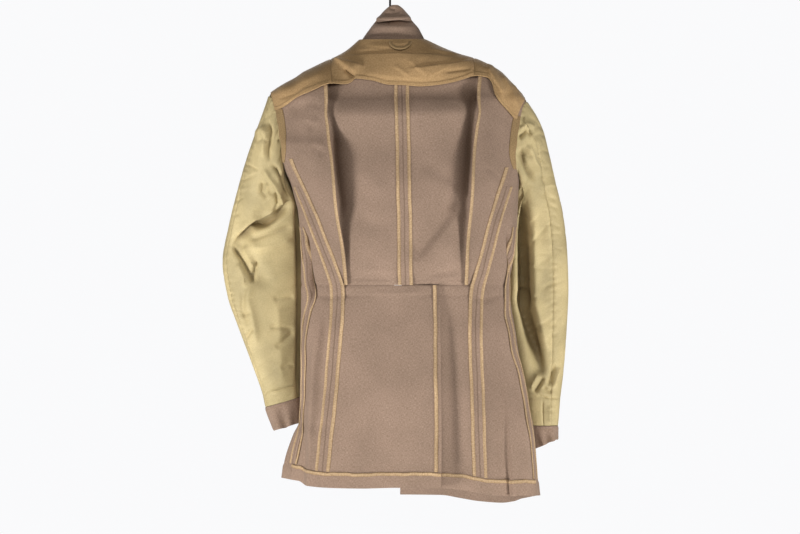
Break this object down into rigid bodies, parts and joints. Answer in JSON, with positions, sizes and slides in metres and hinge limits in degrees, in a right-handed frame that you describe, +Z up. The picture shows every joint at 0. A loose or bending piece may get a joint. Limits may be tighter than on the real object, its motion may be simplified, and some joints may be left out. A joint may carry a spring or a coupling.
{
  "type": "military service jacket on a hanger",
  "caption": "Wool service jacket turned inside out on a hanger, back view, with bound seams, cotton yoke lining, sateen sleeve linings and a vent in the skirt",
  "frame": {"origin": "where the hook's inside top bears on its rod, the rod along X", "axes": "+Z up, +X to the right as seen from the jacket's back, +Y from the jacket's back to its front"},
  "size_m": [0.5862, 0.232, 0.8733],
  "materials": {
    "wool": "matte taupe-brown wool serge",
    "yoke_cotton": "tan cotton twill, slightly crumpled",
    "facing_cotton": "tan cotton",
    "sleeve_sateen": "pale khaki cotton sateen with a soft sheen",
    "binding_tape": "light tan cotton binding tape",
    "hanger_wood": "plain varnished wood",
    "hook_wire": "black wire"
  },
  "bodies": {
    "root": {"back_upper_left": "wool", "back_upper_right": "wool", "back_outer_left": "wool", "back_outer_right": "wool", "skirt_back_left": "wool", "skirt_back_right": "wool", "side_left": "wool", "side_right": "wool", "front_left": "wool", "front_right": "wool", "collar": "wool", "cuff_left": "wool", "cuff_right": "wool", "centre_allowance": "wool", "back_seam_left_allowance": "wool", "back_seam_right_allowance": "wool", "side_seam_left_allowance": "wool", "side_seam_right_allowance": "wool", "yoke_left": "yoke_cotton", "yoke_centre": "yoke_cotton", "yoke_right": "yoke_cotton", "armhole_facing_left": "facing_cotton", "armhole_facing_right": "facing_cotton", "hanger_loop": "facing_cotton", "sleeve_top_left": "sleeve_sateen", "sleeve_under_left": "sleeve_sateen", "sleeve_top_right": "sleeve_sateen", "sleeve_under_right": "sleeve_sateen", "centre_tape_a": "binding_tape", "centre_tape_b": "binding_tape", "back_seam_left_tape_a": "binding_tape", "back_seam_left_tape_b": "binding_tape", "back_seam_right_tape_a": "binding_tape", "back_seam_right_tape_b": "binding_tape", "side_seam_left_tape_a": "binding_tape", "side_seam_left_tape_b": "binding_tape", "side_seam_right_tape_a": "binding_tape", "side_seam_right_tape_b": "binding_tape", "pleat_tape_left": "binding_tape", "pleat_tape_right": "binding_tape", "vent_tape": "binding_tape", "hem_tape_left": "binding_tape", "hem_tape_right": "binding_tape", "hanger_bar": "hanger_wood", "hanger_hook": "hook_wire"}
  },
  "joints": []
}
